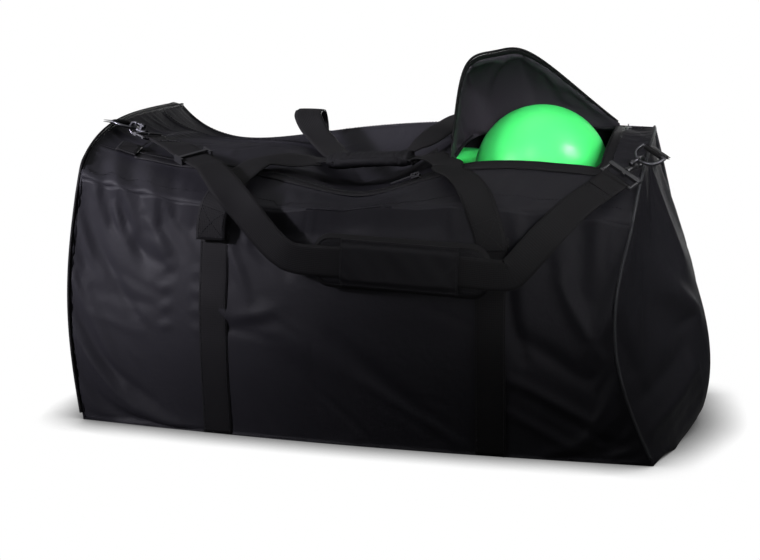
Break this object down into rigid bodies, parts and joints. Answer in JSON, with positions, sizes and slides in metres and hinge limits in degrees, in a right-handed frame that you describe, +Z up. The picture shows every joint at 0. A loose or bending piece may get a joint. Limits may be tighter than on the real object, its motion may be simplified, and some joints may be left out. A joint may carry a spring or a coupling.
{
  "type": "sports ball bag",
  "caption": "Large zipped sports bag with carrying handles and a padded shoulder strap, its lid part open over round foam balls.",
  "frame": {"origin": "centre of the flat base's underside", "axes": "+X along the bag, -Y towards the front with the shoulder strap, +Z up, -Z out of the base"},
  "size_m": [0.8726, 0.4975, 0.5021],
  "materials": {
    "coated_cloth": "coated woven cloth with a soft sheen",
    "webbing": "woven webbing",
    "padding": "padded cloth",
    "zip_tape": "woven tape with moulded coil",
    "reflective_cord": "pale reflective piping",
    "board": "stiff sheet",
    "hardware": "cast metal, satin",
    "dark_hardware": "black painted metal",
    "foam_ball": "coated foam with a soft gloss"
  },
  "bodies": {
    "bag": {"base_panel": "coated_cloth", "base_board": "board", "front_panel": "coated_cloth", "back_panel": "coated_cloth", "left_end_panel": "coated_cloth", "right_end_panel": "coated_cloth", "deck_front": "coated_cloth", "deck_rear": "coated_cloth", "deck_left": "coated_cloth", "deck_right": "coated_cloth", "lid_panel": "coated_cloth", "lid_fold": "coated_cloth", "zip_closed_tape": "zip_tape", "rim_zip": "zip_tape", "piping_left": "webbing", "piping_right": "reflective_cord", "pocket_panel": "coated_cloth", "pocket_zip": "zip_tape", "zip_end_tab": "webbing", "band_front_left": "webbing", "band_front_right": "webbing", "band_rear_left": "webbing", "band_rear_right": "webbing", "ring_tab_left": "webbing", "ring_tab_right": "webbing", "d_ring_left": "hardware", "d_ring_right": "hardware", "ball_rear": "foam_ball", "lower_balls": "foam_ball"},
    "lid_flap": {"lid_flap": "coated_cloth", "flap_zip": "zip_tape"},
    "zip_slider_front": {"zip_slider_front": "hardware"},
    "zip_pull_front": {"zip_pull_front": "hardware"},
    "zip_slider_rear": {"zip_slider_rear": "hardware"},
    "zip_pull_rear": {"zip_pull_rear": "hardware"},
    "pocket_slider": {"pocket_slider": "hardware"},
    "pocket_pull": {"pocket_pull": "hardware"},
    "front_handle": {"front_handle": "webbing", "grip_wrap": "webbing"},
    "rear_handle": {"rear_handle": "webbing"},
    "shoulder_strap": {"snap_hook_left": "hardware", "snap_hook_right": "hardware", "swivel_eye_left": "hardware", "swivel_eye_right": "hardware", "shoulder_strap": "webbing"},
    "snap_trigger_left": {"snap_trigger_left": "hardware"},
    "snap_trigger_right": {"snap_trigger_right": "hardware"},
    "strap_adjuster": {"strap_adjuster": "dark_hardware"},
    "shoulder_pad": {"shoulder_pad": "padding", "pad_sleeve": "webbing", "pad_binding": "webbing"},
    "ball_front": {"ball_front": "foam_ball"}
  },
  "joints": [
    {"name": "lid_flap_hinge", "type": "hinge", "parent": "bag", "child": "lid_flap", "pos_m": [0.10367, -0.12699, 0.35686], "axis": [-0.6092, -0.7865, -0.1014], "range_deg": [0, 20], "deforming": ["lid_fold"]},
    {"name": "zip_slide_front", "type": "slide", "parent": "bag", "child": "zip_slider_front", "axis": [-0.9331, -0.0077, -0.3596], "range_m": [0, 0.018]},
    {"name": "pull_turn_front", "type": "hinge", "parent": "zip_slider_front", "child": "zip_pull_front", "pos_m": [0.06102, -0.1356, 0.34613], "axis": [-0.0083, 1, 0], "range_deg": [0, 100]},
    {"name": "zip_slide_rear", "type": "slide", "parent": "bag", "child": "zip_slider_rear", "axis": [0.1358, -0.99, 0.0379], "range_m": [0, 0.025]},
    {"name": "pull_turn_rear", "type": "hinge", "parent": "zip_slider_rear", "child": "zip_pull_rear", "pos_m": [0.30197, 0.07136, 0.39398], "axis": [-0.9907, -0.1359, 0], "range_deg": [0, 150]},
    {"name": "zip_slide_pocket", "type": "slide", "parent": "bag", "child": "pocket_slider", "axis": [-0.2538, 0.9538, 0.1606], "range_m": [0, 0.02]},
    {"name": "pull_turn_pocket", "type": "hinge", "parent": "pocket_slider", "child": "pocket_pull", "pos_m": [-0.43023, -0.12512, 0.24208], "axis": [0.0413, -0.1552, 0.987], "range_deg": [0, 150]},
    {"name": "front_handle_lift", "type": "hinge", "parent": "bag", "child": "front_handle", "pos_m": [-0.157, -0.15, 0.351], "axis": [0.9995, 0, 0.0302], "range_deg": [0, 90]},
    {"name": "rear_handle_lift", "type": "hinge", "parent": "bag", "child": "rear_handle", "pos_m": [-0.186, 0.163, 0.389], "axis": [-1, 0, 0], "range_deg": [0, 85]},
    {"name": "strap_swing", "type": "hinge", "parent": "bag", "child": "shoulder_strap", "pos_m": [-0.35867, -0.08163, 0.38715], "axis": [-0.9978, 0.0639, 0.0185], "range_deg": [0, 45]},
    {"name": "trigger_left", "type": "slide", "parent": "shoulder_strap", "child": "snap_trigger_left", "axis": [0.8842, -0.3993, -0.2424], "range_m": [0, 0.007], "stiffness_N_per_m": 200},
    {"name": "trigger_right", "type": "slide", "parent": "shoulder_strap", "child": "snap_trigger_right", "axis": [-0.539, -0.7349, -0.4116], "range_m": [0, 0.007], "stiffness_N_per_m": 200},
    {"name": "adjuster_slide", "type": "slide", "parent": "shoulder_strap", "child": "strap_adjuster", "axis": [0.7774, -0.5957, -0.2019], "range_m": [-0.015, 0.015]},
    {"name": "pad_slide", "type": "slide", "parent": "shoulder_strap", "child": "shoulder_pad", "axis": [0.9997, 0, -0.0262], "range_m": [-0.012, 0.012]},
    {"name": "ball_front_lift", "type": "slide", "parent": "bag", "child": "ball_front", "axis": [0.1002, -0.4208, 0.9016], "range_m": [0, 0.26]}
  ]
}
